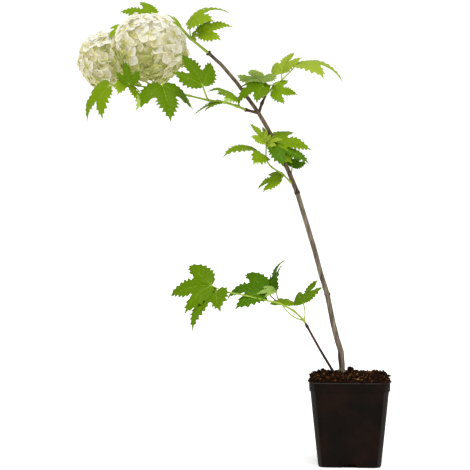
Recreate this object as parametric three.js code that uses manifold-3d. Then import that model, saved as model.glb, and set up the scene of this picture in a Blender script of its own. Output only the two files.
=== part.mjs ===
// A young snowball viburnum (guelder rose) in its square nursery pot: one slender leaning trunk
// that forks near the top, a thin side stem from the foot, five leafy sprays and two snowballs.
// Units are millimetres, +Z is up, and the origin is at the middle of the pot's underside.
// +X runs to the side that the plant leans away from, and -Y is its best side. The plant is drawn
// in its own frame, and is then set a little to the left and turned in its pot.

import * as THREE from 'three';
import { mergeVertices } from 'three/addons/utils/BufferGeometryUtils.js';
import Module from 'manifold-3d';

const wasm = await Module();
wasm.setup();

// ---------------------------------------------------------------- driving dimensions

const CLEARANCE = 0.3; // what neighbouring pieces keep between them

const POT = {
  height: 95,
  rimWidth: 90,
  rimDepth: 10,
  shoulderWidth: 87, // just under the rim
  baseWidth: 70,
  wall: 1.4,
  floor: 1.8,
  cornerRadius: 9,
};
const DRAIN = { holeRadius: 4, holeOffset: 21, notchWidth: 18, notchHeight: 5 };
const MIX = { edgeLevel: 97.2, heapHeight: 6.6, cells: 10, lump: 1.1 };
const PLACE_IN_POT = { turn: 4.5, shift: -3.5 }; // degrees seen from above, and along X

// Stems are given joint by joint, as a real shoot grows: [length, bearing, rise]. A bearing is
// read in plan (0 is +X, 90 is +Y) and a rise is the angle above level, both in degrees.
const TRUNK = {
  foot: [-5, 0, 102.5],
  flareHeight: 4,
  joints: [
    [19, 180, 87], [15, 168, 72], [21, 168, 76], [31, 180, 79], [23, 188, 72], [30, 187, 75],
    [67, 186, 73], [27, 174, 68], [42, 174, 64.5], [15, 180, 61], [16, 187, 59.5],
    [43, 184, 54], [26.5, 177, 49.5], [19.5, 176, 42],
  ],
  flareDiameter: 9,
  footDiameter: 7,
  tipDiameter: 3.8,
  swelling: 1.16, // of the diameter, at each joint
};
const FORK = 12; // the trunk joint that the two boughs leave
const MIDDLE_BUD = 8; // the trunk joint below the middle spray
const SIDE_STEM = {
  foot: [-14, 2, 101.8],
  joints: [[32.5, 184, 59], [28.5, 184, 61]],
  diameters: [3.1, 2],
};
const RIGHT_BOUGH = { joints: [[12, 344, 72], [9.5, 0, 63]], diameters: [3.2, 2.4] };
const FLOWER_BOUGH = { joints: [[15.5, 188, 14]], diameters: [3.4, 2.7] };

// A leaf is three-lobed and coarsely toothed, as long as it is broad. This is one half of its
// outline from the stalk round to the tip, as [along, across] in parts of the blade's length.
const HALF_OUTLINE = [
  [-0.06, 0.12], [-0.03, 0.28], [0.05, 0.42], [0.2, 0.5], [0.44, 0.6], [0.46, 0.4], [0.45, 0.2],
  [0.6, 0.26], [0.74, 0.19], [0.87, 0.1],
];
const MIDRIB_STEPS = 5;
const LEAF = { thickness: 0.7, stalkWidth: 1.3, fold: 16, curl: 60, droop: 40 };

// Each spray is a shoot that grows from a limb, and its leaves, each on a stalk from one of the
// shoot's joints: stalk and blade are [length, bearing, rise], and roll turns the blade about its
// own length (0 faces up). droop is how far the midrib bends from stalk to tip, and curl is how
// far each half turns down by one blade's length from the midrib.
const LOW_SPRAY = {
  joints: [
    [7.5, 196, 61], [17, 196, 43], [19, 190, 27], [21.5, 183, 10.5], [15.5, 180, 15],
    [24.5, 175, 11],
  ],
  diameters: [2.2, 1.5],
  leaves: [
    { joint: 6, stalk: [17, 188, 24], blade: [54, 156, -14], roll: -53, droop: 52 },
    { joint: 6, stalk: [11, 213, 8], blade: [57, 220, -51], roll: 3, droop: 52, curl: 80 },
    { joint: 3, stalk: [21, 144, 36], blade: [52, 152, -12], roll: -42, droop: 85, width: 0.93 },
    { joint: 3, stalk: [15.5, 138, 73], blade: [40, 55, 56], roll: -39, droop: 80, width: 0.8 },
    { joint: 3, stalk: [15.5, 138, 73], blade: [25, 176, -14], roll: -48, droop: 20, width: 0.5 },
    { joint: 1, stalk: [31, 157, 33], blade: [28, 84, 8], roll: 2, droop: 60, curl: 120 },
    { joint: 1, stalk: [19.5, 252, 81], blade: [38, 50, 43], roll: -16, droop: 29, width: 0.92 },
  ],
};
const MIDDLE_SPRAY = {
  joints: [[7, 192, 44], [12.5, 192, 44], [15, 189, 30], [10, 190, 53], [17, 0, 89]],
  diameters: [2.2, 1.4],
  leaves: [
    { joint: 2, stalk: [8.5, 254, -48], blade: [33, 148, -21], roll: -40, droop: 64, width: 0.9 },
    { joint: 1, stalk: [20, 75, 60], blade: [24, 52, 39], roll: 32, droop: 40, width: 0.8 },
    { joint: 5, stalk: [5, 355, 26], blade: [48, 3, -9], roll: 41, droop: 30, curl: 80 },
    { joint: 5, stalk: [11, 325, -9], blade: [45, 346, -27], roll: 29, droop: 30, curl: 90 },
    { joint: 5, stalk: [3, 300, 5], blade: [19, 350, 14], roll: 36, droop: 60 },
    { joint: 5, stalk: [3.5, 139, 73], blade: [28, 182, 49], roll: -36, droop: 12 },
    { joint: 5, stalk: [4.5, 250, 60], blade: [14.5, 0, 86], roll: 73, droop: 20, width: 0.7 },
    { joint: 4, stalk: [7.5, 136, 45], blade: [49, 204, -4], roll: -18, droop: 82, curl: 110, width: 1.15 },
  ],
};
const RIGHT_SPRAY = {
  joints: [[7, 0, 53], [10, 8, 44], [9, 17, 38]],
  diameters: [2, 1.3],
  leaves: [
    { joint: 1, stalk: [4.5, 318, -10], blade: [29, 358, -9], roll: 55, droop: 36 },
    { joint: 3, stalk: [24, 0, 46], blade: [57, 6, -20], roll: 18, droop: 76, curl: 100, width: 0.95 },
    { joint: 3, stalk: [9, 90, 60], blade: [36, 50, 47], roll: -6, droop: 39 },
    { joint: 1, stalk: [13.5, 163, 40], blade: [40, 254, 16], roll: 3, droop: 17, width: 0.95 },
    { joint: 1, stalk: [19, 248, 8], blade: [37, 184, -38], roll: -33, droop: 95, curl: 90, width: 1.1 },
    { joint: 2, stalk: [11, 214, -6], blade: [17, 177, -49], roll: -44, droop: 28 },
  ],
};
const FLOWER_SPRAY = {
  joints: [
    [11, 186, 22], [15, 180, 17], [18, 177, 7], [22.5, 169, 14], [28.5, 172, 14], [31, 188, 8],
    [21, 197, 11],
  ],
  diameters: [3, 1.6],
  leaves: [
    { joint: 3, stalk: [33.5, 260, 22.5], blade: [46, 151, 53], roll: -27, droop: 24, width: 0.98 },
    { joint: 0.6, stalk: [13, 120, 58], blade: [36, 195, 11], roll: -18, droop: 57, curl: 130, width: 1.05 },
    { joint: 2, stalk: [4, 150, -10], blade: [34, 173, -25], roll: -22, droop: 45, width: 0.7 },
    { joint: 4.7, stalk: [30.5, 250, 8], blade: [50, 294, -58], roll: 4, droop: 30, curl: 125, width: 1.15 },
    { joint: 7, stalk: [16, 212, -24], blade: [48, 150, -51], roll: -54, droop: 60, curl: 90, width: 1.1 },
    { joint: 7, stalk: [9, 300, -10], blade: [34, 325, -50], roll: 0, droop: 50, curl: 110, width: 1.1 },
    { joint: 7, stalk: [32, 293, -10], blade: [27, 250, 68], roll: 180, droop: 12, curl: 80, width: 0.9 },
  ],
  twig: {
    joint: 5,
    joints: [[50, 94, 36], [33, 115, 84], [22, 215, 70]],
    diameters: [1.8, 1.3],
    leaves: [
      { joint: 3, stalk: [5.8, 180, 48], blade: [42, 179, 10], roll: -44, droop: 35, curl: 80, width: 1.15 },
      { joint: 2, stalk: [52, 204.5, 13], blade: [21, 185, -39], roll: -46, droop: 36, curl: 80, width: 1.1 },
    ],
  },
};
const TIP_SPRAY = {
  joints: [[28, 215, 31], [21, 236, 29]],
  diameters: [3, 2],
  leaves: [
    { joint: 2, stalk: [3, 250, 17], blade: [21, 208, 36], roll: -38, droop: 30, width: 0.8 },
    { joint: 1, stalk: [15, 238, 79], blade: [48, 1, 16], roll: 24, droop: 90, curl: 90, width: 0.92 },
    { joint: 1, stalk: [11.5, 335, 26], blade: [39, 3, 12], roll: 37, droop: 50, curl: 90, width: 1.05 },
    { joint: 1.1, stalk: [1.5, 215, -20], blade: [15, 215, 38], roll: -40, droop: 20, width: 0.5 },
    { joint: 1, stalk: [4, 20, 60], blade: [11, 340, 0], roll: 70, droop: 20 },
  ],
};

// A snowball is a ball of five-petalled sterile florets, each on a thin pedicel from the
// branching head of one stalk. It hangs on a joint of the flowering shoot.
const FRONT_SNOWBALL = { joint: 5, centre: [-222, -2, 469], radii: [41, 36, 39], florets: 46, turn: 0 };
const REAR_SNOWBALL = { joint: 6, centre: [-274.5, 53, 461], radii: [34, 31, 33], florets: 34, turn: 50 };
const FLORET = { radius: 10, notch: 0.66, dish: 3, thickness: 1.4, pedicel: 1.3, sag: 2.2 };
const SNOWBALL = { coreShare: 0.42, stalkDiameter: 2.4, bareCap: -0.84 };

// ---------------------------------------------------------------- solids

const radians = THREE.MathUtils.degToRad;
const UP = new THREE.Vector3(0, 0, 1);

// Turns a closed geometry into a solid that can be joined and cut.
function solid(geometry) {
  const bare = geometry.clone();
  bare.deleteAttribute('normal');
  bare.deleteAttribute('uv');
  const merged = mergeVertices(bare, 1e-4);
  return new wasm.Manifold(new wasm.Mesh({
    numProp: 3,
    vertProperties: new Float32Array(merged.attributes.position.array),
    triVerts: new Uint32Array(merged.index.array),
  }));
}

function geometryFrom(vertices, triangles) {
  const geometry = new THREE.BufferGeometry();
  const numbers = vertices.flatMap((vertex) => vertex.toArray());
  geometry.setAttribute('position', new THREE.Float32BufferAttribute(numbers, 3));
  geometry.setIndex(triangles.flat());
  return geometry;
}

const joined = (solids) => solids.reduce((whole, next) => whole.add(next));

// Keeps the one largest body of a joined solid: loose scraps go, and sealed hollows are filled.
function mainBody(joinedSolid) {
  const bodies = joinedSolid.decompose();
  return bodies.sort((a, b) => b.volume() - a.volume())[0];
}

function mesh(name, shape, colour, roughness) {
  const { vertProperties, triVerts } = mainBody(shape).getMesh();
  const geometry = new THREE.BufferGeometry();
  geometry.setAttribute('position', new THREE.BufferAttribute(new Float32Array(vertProperties), 3));
  geometry.setIndex(new THREE.BufferAttribute(new Uint32Array(triVerts), 1));
  geometry.computeVertexNormals();
  const piece = new THREE.Mesh(geometry, new THREE.MeshStandardMaterial({ color: colour, roughness }));
  piece.name = name;
  return piece;
}

// ---------------------------------------------------------------- stems

// A unit direction from a bearing and a rise.
function heading(bearing, rise) {
  const level = Math.cos(radians(rise));
  return new THREE.Vector3(
    level * Math.cos(radians(bearing)),
    level * Math.sin(radians(bearing)),
    Math.sin(radians(rise)),
  );
}

const step = (from, [length, bearing, rise]) => from.clone().addScaledVector(heading(bearing, rise), length);

// The joints of a stem, from where it starts to its tip.
function grow(start, joints) {
  const points = [start];
  for (const joint of joints) points.push(step(points.at(-1), joint));
  return points;
}

// A place on a stem, where 2.5 is half-way from its second joint to its third.
function along(points, joint) {
  const whole = Math.min(Math.floor(joint), points.length - 2);
  return points[whole].clone().lerp(points[whole + 1], joint - whole);
}

// A tapering stem with flat ends through the given points.
function stem(points, diameters, sides) {
  const vertices = [];
  const triangles = [];
  let across = new THREE.Vector3(1, 0.2, 0.1);
  points.forEach((point, k) => {
    const before = points[Math.max(k - 1, 0)];
    const after = points[Math.min(k + 1, points.length - 1)];
    const ahead = after.clone().sub(before).normalize();
    across = across.clone().addScaledVector(ahead, -across.dot(ahead)).normalize();
    const third = ahead.clone().cross(across);
    for (let i = 0; i < sides; i += 1) {
      const angle = (2 * Math.PI * i) / sides;
      const out = across.clone().multiplyScalar(Math.cos(angle)).addScaledVector(third, Math.sin(angle));
      vertices.push(point.clone().addScaledVector(out, diameters[k] / 2));
    }
  });
  const last = (points.length - 1) * sides;
  for (let i = 0; i < sides; i += 1) {
    const next = (i + 1) % sides;
    for (let ring = 0; ring < last; ring += sides) {
      triangles.push([ring + i, ring + next, ring + sides + next]);
      triangles.push([ring + i, ring + sides + next, ring + sides + i]);
    }
    if (i > 0 && i < sides - 1) triangles.push([0, i + 1, i], [last, last + i, last + i + 1]);
  }
  return solid(geometryFrom(vertices, triangles));
}

// Diameters that run evenly from a stem's foot to its tip.
const taper = (points, [foot, tip]) => points.map((_, k) => foot + ((tip - foot) * k) / (points.length - 1));

// A woody limb: each inner joint is a swollen ring where leaves once stood. Extra is added all
// round and at both ends, to cut its neighbours clear of it.
function limb(line, diameters, swelling, extra = 0) {
  const ringHalf = 2.2;
  const places = [];
  const widths = [];
  const beyond = (end, inner) => end.clone().addScaledVector(end.clone().sub(inner).normalize(), extra);
  line.forEach((point, k) => {
    const inner = k > 0 && k < line.length - 1;
    if (inner) {
      const back = line[k - 1].clone().sub(point).setLength(ringHalf);
      const on = line[k + 1].clone().sub(point).setLength(ringHalf);
      places.push(point.clone().add(back), point.clone(), point.clone().add(on));
      widths.push(diameters[k], diameters[k] * swelling, diameters[k]);
    } else {
      places.push(point.clone());
      widths.push(diameters[k]);
    }
  });
  if (extra > 0) {
    places.unshift(beyond(line[0], line[1]));
    places.push(beyond(line.at(-1), line.at(-2)));
    widths.unshift(widths[0]);
    widths.push(widths.at(-1));
  }
  return stem(places, widths.map((width) => width + 2 * extra), 8);
}

// ---------------------------------------------------------------- leaves

// Bends a flat leaf into place: returns the point and the upper face's direction for a place in
// its outline. The midrib is an arc, and each half is folded up from it and curls down again.
function bentBlade(base, leaf) {
  const [length, bearing, rise] = leaf.blade;
  const chord = heading(bearing, rise);
  const face = UP.clone().addScaledVector(chord, -chord.z).normalize();
  face.applyAxisAngle(chord, radians(leaf.roll));
  const side = face.clone().cross(chord);
  const half = radians(leaf.droop ?? LEAF.droop) / 2;
  const radius = length / (2 * Math.sin(half));
  const wide = length * (leaf.width ?? 1);
  const curl = leaf.curl ?? LEAF.curl;
  return (alongRib, across) => {
    const slope = half * (1 - 2 * alongRib);
    const rib = base.clone()
      .addScaledVector(chord, radius * (Math.sin(half) - Math.sin(slope)))
      .addScaledVector(face, radius * (Math.cos(slope) - Math.cos(half)));
    const upper = face.clone().multiplyScalar(Math.cos(slope)).addScaledVector(chord, -Math.sin(slope));
    const sign = Math.sign(across);
    const lift = radians(LEAF.fold - (curl * Math.abs(across)) / 2);
    const turn = radians(LEAF.fold - curl * Math.abs(across));
    const point = rib
      .addScaledVector(side, across * wide * Math.cos(lift))
      .addScaledVector(upper, Math.abs(across) * wide * Math.sin(lift));
    const normal = across === 0
      ? upper
      : upper.clone().multiplyScalar(Math.cos(turn)).addScaledVector(side, -sign * Math.sin(turn));
    return { point, normal };
  };
}

// One blade as a thin solid with the true lobed outline.
function blade(base, leaf) {
  const rib = Array.from({ length: MIDRIB_STEPS + 1 }, (_, k) => [k / MIDRIB_STEPS, 0]);
  const right = HALF_OUTLINE;
  const left = HALF_OUTLINE.map(([x, y]) => [x, -y]);
  const places = [...rib, ...right, ...left];
  const ribIds = rib.map((_, k) => k);
  const rightIds = right.map((_, k) => rib.length + k);
  const leftIds = left.map((_, k) => rib.length + right.length + k);
  const flat = places.map(([x, y]) => new THREE.Vector2(x, y));
  const halves = [
    [...ribIds, ...[...rightIds].reverse()],
    [...[...ribIds].reverse(), ...leftIds],
  ];
  const upperFaces = halves.flatMap((ids) => {
    const faces = THREE.ShapeUtils.triangulateShape(ids.map((id) => flat[id]), []);
    return faces.map((corners) => corners.map((corner) => ids[corner]));
  });
  const bend = bentBlade(base, leaf);
  const bent = places.map(([x, y]) => bend(x, y));
  const offset = (sign) => bent.map(({ point, normal }) => (
    point.clone().addScaledVector(normal, (sign * LEAF.thickness) / 2)
  ));
  const count = places.length;
  const margin = [MIDRIB_STEPS, ...[...rightIds].reverse(), 0, ...leftIds];
  const walls = margin.flatMap((a, k) => {
    const b = margin[(k + 1) % margin.length];
    return [[a + count, b + count, b], [a + count, b, a]];
  });
  const lowerFaces = upperFaces.map(([a, b, c]) => [a + count, c + count, b + count]);
  return solid(geometryFrom([...offset(1), ...offset(-1)], [...upperFaces, ...lowerFaces, ...walls]));
}

// A leaf on its stalk. The stalk runs on into the blade as the thick end of the midrib.
function leafOnStalk(shoot, leaf) {
  const root = along(shoot, leaf.joint);
  const base = step(root, leaf.stalk);
  const bend = bentBlade(base, leaf);
  const ribEnd = bend(0.14, 0).point;
  const stalk = stem([root, base, ribEnd], [LEAF.stalkWidth, LEAF.stalkWidth, LEAF.thickness], 3);
  return stalk.add(blade(base, leaf));
}

// A shoot with its leaves, and with a leafy twig of its own where it has one.
function spray(start, plan) {
  const shoot = grow(start, plan.joints);
  const parts = [stem(shoot, taper(shoot, plan.diameters), 6)];
  for (const leaf of plan.leaves) parts.push(leafOnStalk(shoot, leaf));
  if (plan.twig) parts.push(spray(shoot[plan.twig.joint], plan.twig));
  return joined(parts);
}

// ---------------------------------------------------------------- snowballs

// A shallow dish with five rounded petals, opening along +Z, on a thin three-sided pedicel.
function floret(reach) {
  const rimPoints = 15;
  const dish = new THREE.ConeGeometry(FLORET.radius, FLORET.thickness, rimPoints);
  dish.rotateX(-Math.PI / 2);
  const place = dish.attributes.position;
  for (let i = 0; i < place.count; i += 1) {
    const out = Math.hypot(place.getX(i), place.getY(i));
    if (out > FLORET.radius / 2) {
      const turned = Math.atan2(place.getY(i), place.getX(i)) / (2 * Math.PI);
      const corner = Math.round(turned * rimPoints) + rimPoints;
      const share = corner % 3 === 0 ? FLORET.notch : 1;
      place.setXYZ(i, place.getX(i) * share, place.getY(i) * share, FLORET.dish * share);
    }
  }
  const pedicel = new THREE.CylinderGeometry(FLORET.pedicel / 2, FLORET.pedicel / 2, reach, 3);
  pedicel.rotateX(Math.PI / 2);
  pedicel.translate(0, 0, -reach / 2);
  return solid(dish).add(solid(pedicel));
}

// Spreads florets evenly over a ball by the golden angle, and leaves its underside cap bare
// where the stalk comes in.
function snowball(shoot, plan) {
  const centre = new THREE.Vector3(...plan.centre);
  const radii = new THREE.Vector3(...plan.radii);
  const goldenAngle = Math.PI * (3 - Math.sqrt(5));
  const core = new THREE.IcosahedronGeometry(1, 1);
  core.scale(...radii.clone().multiplyScalar(SNOWBALL.coreShare).toArray());
  core.translate(...plan.centre);
  const root = shoot[plan.joint];
  const parts = [solid(core), stem([root, centre], [SNOWBALL.stalkDiameter, SNOWBALL.stalkDiameter], 6)];
  for (let k = 0; k < plan.florets; k += 1) {
    const height = 1 - ((k + 0.5) / plan.florets) * (1 - SNOWBALL.bareCap);
    const bearing = k * goldenAngle + radians(plan.turn);
    const level = Math.sqrt(1 - height * height);
    const out = new THREE.Vector3(level * Math.cos(bearing), level * Math.sin(bearing), height);
    const sunk = FLORET.sag * (k % 3);
    const distance = out.clone().multiply(radii).length() - FLORET.dish - sunk;
    const turn = new THREE.Matrix4().makeRotationFromQuaternion(
      new THREE.Quaternion().setFromUnitVectors(UP, out)
        .multiply(new THREE.Quaternion().setFromAxisAngle(UP, k * 1.3)),
    );
    turn.setPosition(centre.clone().addScaledVector(out, distance));
    parts.push(floret(distance - radii.x * SNOWBALL.coreShare * 0.7).transform(turn.toArray()));
  }
  return joined(parts);
}

// ---------------------------------------------------------------- pot and potting mix

// An upright prism of rounded-square section that widens from its foot to its top.
function draftedSquare(footWidth, topWidth, bottom, top, cornerRadius) {
  const half = footWidth / 2;
  const outline = new THREE.Shape();
  outline.moveTo(half, -half + cornerRadius);
  outline.absarc(half - cornerRadius, half - cornerRadius, cornerRadius, 0, Math.PI / 2);
  outline.absarc(-half + cornerRadius, half - cornerRadius, cornerRadius, Math.PI / 2, Math.PI);
  outline.absarc(-half + cornerRadius, -half + cornerRadius, cornerRadius, Math.PI, 1.5 * Math.PI);
  outline.absarc(half - cornerRadius, -half + cornerRadius, cornerRadius, 1.5 * Math.PI, 2 * Math.PI);
  const depth = top - bottom;
  const prism = new THREE.ExtrudeGeometry(outline, { depth, bevelEnabled: false, curveSegments: 3 });
  const place = prism.attributes.position;
  for (let i = 0; i < place.count; i += 1) {
    const share = place.getZ(i) > depth / 2 ? topWidth / footWidth : 1;
    place.setXYZ(i, place.getX(i) * share, place.getY(i) * share, place.getZ(i) + bottom);
  }
  return solid(prism);
}

// The body's width at a height, from its foot to its shoulder under the rim.
const shoulderLevel = POT.height - POT.rimDepth;
const bodyWidthAt = (z) => POT.baseWidth + ((POT.shoulderWidth - POT.baseWidth) * z) / shoulderLevel;

// The inside of the pot, drawn in by a gap all round: the drafted body and the wider rim.
function potInside(gap) {
  const inset = 2 * (POT.wall + gap);
  const bottom = POT.floor + gap;
  const ledge = shoulderLevel + POT.wall + gap;
  const above = POT.height + 5;
  const inner = POT.cornerRadius - POT.wall;
  return draftedSquare(bodyWidthAt(bottom) - inset, bodyWidthAt(above) - inset, bottom, above, inner)
    .add(draftedSquare(POT.rimWidth - inset - 0.6, POT.rimWidth - inset, ledge, above, inner));
}

function pot() {
  const body = draftedSquare(POT.baseWidth, bodyWidthAt(POT.height - 1), 0, POT.height - 1, POT.cornerRadius);
  const rim = draftedSquare(POT.rimWidth - 0.6, POT.rimWidth, shoulderLevel, POT.height, POT.cornerRadius);
  let shape = body.add(rim).subtract(potInside(0));
  for (let quarter = 0; quarter < 4; quarter += 1) {
    const angle = (quarter * Math.PI) / 2;
    const hole = new THREE.CylinderGeometry(DRAIN.holeRadius, DRAIN.holeRadius, 3 * POT.floor, 10);
    hole.rotateX(Math.PI / 2);
    hole.translate(DRAIN.holeOffset, DRAIN.holeOffset, 0);
    hole.rotateZ(angle);
    const notch = new THREE.CylinderGeometry(DRAIN.notchWidth / 2, DRAIN.notchWidth / 2, 8, 12);
    notch.scale(1, 1, DRAIN.notchHeight / (DRAIN.notchWidth / 2));
    notch.translate(0, -POT.baseWidth / 2, 0);
    notch.rotateZ(angle);
    shape = shape.subtract(solid(hole)).subtract(solid(notch));
  }
  return shape;
}

// Coarse bark-and-peat mix, level with the rim at the walls and heaped round the foot of the plant.
function pottingMix(stemsClear) {
  const width = POT.rimWidth + 10;
  const bulk = new THREE.BoxGeometry(width, width, 2 * POT.height, MIX.cells, MIX.cells, 1);
  const place = bulk.attributes.position;
  for (let i = 0; i < place.count; i += 1) {
    if (place.getZ(i) > 0) {
      const [x, y] = [place.getX(i), place.getY(i)];
      const out = Math.min(Math.hypot(x, y) / (POT.rimWidth / 2), 1);
      const lump = MIX.lump * (Math.sin(x * 0.9 + y * 0.4) + Math.sin(y * 1.1 - x * 0.5 + 2));
      place.setZ(i, MIX.edgeLevel + MIX.heapHeight * (1 - out * out) + lump);
    } else {
      place.setZ(i, -5);
    }
  }
  return potInsideBelowHeap().intersect(solid(bulk)).subtract(stemsClear);
}

// The space that the mix may fill: the pot's inside, carried straight up past the rim.
function potInsideBelowHeap() {
  const inner = POT.rimWidth - 2 * (POT.wall + CLEARANCE) - 0.6;
  return potInside(CLEARANCE).add(
    draftedSquare(inner, inner, POT.height - 2, POT.height + 25, POT.cornerRadius - POT.wall),
  );
}

// ---------------------------------------------------------------- the plant, put together

const trunkFoot = new THREE.Vector3(...TRUNK.foot);
const flareTop = trunkFoot.clone().addScaledVector(UP, TRUNK.flareHeight);
const trunkLine = [trunkFoot, ...grow(flareTop, TRUNK.joints)];
const trunkWidths = taper(trunkLine, [TRUNK.footDiameter, TRUNK.tipDiameter]);
trunkWidths[0] = TRUNK.flareDiameter;
const trunk = limb(trunkLine, trunkWidths, TRUNK.swelling);
const trunkClear = limb(trunkLine, trunkWidths, TRUNK.swelling, CLEARANCE);

const sideLine = grow(new THREE.Vector3(...SIDE_STEM.foot), SIDE_STEM.joints);
const sideWidths = taper(sideLine, SIDE_STEM.diameters);
const sideStem = limb(sideLine, sideWidths, TRUNK.swelling);
const sideStemClear = limb(sideLine, sideWidths, TRUNK.swelling, CLEARANCE);

function bough(plan) {
  const line = grow(trunkLine[FORK], plan.joints);
  const widths = taper(line, plan.diameters);
  return {
    line,
    shape: limb(line, widths, TRUNK.swelling).subtract(trunkClear),
    clear: limb(line, widths, TRUNK.swelling, CLEARANCE),
  };
}
const rightBough = bough(RIGHT_BOUGH);
const flowerBough = bough(FLOWER_BOUGH);

// A spray's shoot starts at the tip of the limb that bears it, and is cut just clear of it.
function borneOn(limbLine, limbClear, plan) {
  return spray(limbLine.at(-1), plan).subtract(limbClear);
}
const middleStart = along(trunkLine, MIDDLE_BUD + 0.3);
const flowerShoot = grow(flowerBough.line.at(-1), FLOWER_SPRAY.joints);
const flowerShootClear = stem(
  flowerShoot,
  taper(flowerShoot, FLOWER_SPRAY.diameters).map((width) => width + 2 * CLEARANCE + 0.2),
  6,
);
const twigLine = grow(flowerShoot[FLOWER_SPRAY.twig.joint], FLOWER_SPRAY.twig.joints).slice(0, 2);
const twigClear = stem(twigLine, FLOWER_SPRAY.twig.diameters.map((width) => width + 0.8), 6);
const frontBall = snowball(flowerShoot, FRONT_SNOWBALL).subtract(flowerShootClear).subtract(twigClear);
const rearBall = snowball(flowerShoot, REAR_SNOWBALL).subtract(flowerShootClear).subtract(twigClear);

const placed = (shape) => shape.rotate([0, 0, PLACE_IN_POT.turn]).translate([PLACE_IN_POT.shift, 0, 0]);
const stemsClear = placed(trunkClear.add(sideStemClear));

const plant = new THREE.Group();
plant.add(
  mesh('pot', pot(), 0x211c1b, 0.45),
  mesh('potting_mix', pottingMix(stemsClear), 0x3a2a22, 0.95),
  mesh('trunk', placed(trunk), 0x7c6b5a, 0.85),
  mesh('side_stem', placed(sideStem), 0x53372f, 0.7),
  mesh('right_bough', placed(rightBough.shape), 0x4a3a2c, 0.8),
  mesh('flower_bough', placed(flowerBough.shape), 0x4d3626, 0.8),
  mesh('low_spray', placed(borneOn(sideLine, sideStemClear, LOW_SPRAY)), 0x5f8f14, 0.5),
  mesh('middle_spray', placed(spray(middleStart, MIDDLE_SPRAY).subtract(trunkClear)), 0x5f8f14, 0.5),
  mesh('right_spray', placed(borneOn(rightBough.line, rightBough.clear, RIGHT_SPRAY)), 0x6b9c2c, 0.5),
  mesh('flower_spray', placed(borneOn(flowerBough.line, flowerBough.clear, FLOWER_SPRAY)), 0x5a8a14, 0.5),
  mesh('tip_spray', placed(borneOn(trunkLine, trunkClear, TIP_SPRAY)), 0x6b9a1e, 0.5),
  mesh('snowball_front', placed(frontBall), 0xe6e2c4, 0.75),
  mesh('snowball_rear', placed(rearBall), 0xe0dcbc, 0.75),
);

export default plant;
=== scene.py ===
import random
from collections import namedtuple
from math import copysign, cos, exp, hypot, pi, radians, sin, sqrt

import bmesh
import bpy
from bmesh.types import BMEdge, BMFace, BMVert
from mathutils import Matrix, Vector, noise


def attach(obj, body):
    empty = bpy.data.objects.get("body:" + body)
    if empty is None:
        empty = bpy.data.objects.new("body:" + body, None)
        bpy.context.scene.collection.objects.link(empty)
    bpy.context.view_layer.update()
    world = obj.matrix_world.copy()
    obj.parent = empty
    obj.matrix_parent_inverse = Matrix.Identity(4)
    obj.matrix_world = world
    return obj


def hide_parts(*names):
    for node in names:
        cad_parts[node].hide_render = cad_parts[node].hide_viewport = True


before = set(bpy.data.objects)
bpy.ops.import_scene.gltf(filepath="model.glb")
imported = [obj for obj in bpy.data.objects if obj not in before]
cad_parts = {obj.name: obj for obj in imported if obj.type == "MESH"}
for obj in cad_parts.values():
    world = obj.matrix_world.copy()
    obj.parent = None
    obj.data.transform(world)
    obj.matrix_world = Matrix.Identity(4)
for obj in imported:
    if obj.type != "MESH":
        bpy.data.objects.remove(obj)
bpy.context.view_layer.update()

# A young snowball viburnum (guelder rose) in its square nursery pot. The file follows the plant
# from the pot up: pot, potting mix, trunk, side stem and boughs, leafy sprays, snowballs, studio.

# ----------------------------------------
# Pot: a square nursery pot of injection-moulded recycled polypropylene, with a deep rim, drafted
# walls, four drain holes in its floor and a notch in each side of its foot.

mm = 0.001
pot_height = 95 * mm
rim_half = 45 * mm
rim_level = 85 * mm
shoulder_half = 43.5 * mm
foot_half = 35 * mm
pot_wall = 1.4 * mm
pot_floor = 1.8 * mm
pot_corner = 0.235  # corner radius as a share of the half width
drain_radius = 4 * mm
drain_offset = 21 * mm
notch_half_width = 9 * mm
notch_height = 5 * mm
notch_depth = 8 * mm


def linear(hex_colour):
    """An sRGB hex colour as Blender's linear RGBA."""
    shares = [int(hex_colour[k:k + 2], 16) / 255 for k in (1, 3, 5)]
    return (*((c / 12.92 if c <= 0.04045 else ((c + 0.055) / 1.055) ** 2.4) for c in shares), 1.0)


def add_node(owner, kind, inputs=None):
    """Adds a node: an input is set to a value, or linked to a (node, output name) pair."""
    made = owner.node_tree.nodes.new(kind)
    for name, value in (inputs or {}).items():
        if isinstance(value, tuple) and isinstance(value[0], bpy.types.Node):
            owner.node_tree.links.new(value[0].outputs[value[1]], made.inputs[name])
        else:
            made.inputs[name].default_value = value
    return made


def new_material(name, colour, roughness, gloss=0.5, **sockets):
    """A principled material; its gloss is the shader's level of plain reflection."""
    material = bpy.data.materials.new(name)
    material.use_nodes = True
    shader = material.node_tree.nodes["Principled BSDF"]
    shader.inputs["Base Color"].default_value = linear(colour)
    shader.inputs["Roughness"].default_value = roughness
    shader.inputs["Specular IOR Level"].default_value = gloss
    for socket, value in sockets.items():
        shader.inputs[socket.replace("_", " ")].default_value = value
    return material


def shader_link(material, socket, source, output):
    """Links a node's output to a socket of the material's shader."""
    shader = material.node_tree.nodes["Principled BSDF"]
    material.node_tree.links.new(source.outputs[output], shader.inputs[socket])


def clouded(material, size, stretch, detail, roughness=0.5):
    """Adds a cloudy pattern of a real size that is fixed to the piece."""
    place = add_node(material, "ShaderNodeTexCoord")
    shape = add_node(material, "ShaderNodeMapping", {"Vector": (place, "Object"), "Scale": stretch})
    return add_node(
        material, "ShaderNodeTexNoise",
        {"Vector": (shape, "Vector"), "Scale": 1 / size, "Detail": detail, "Roughness": roughness},
    )


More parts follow.
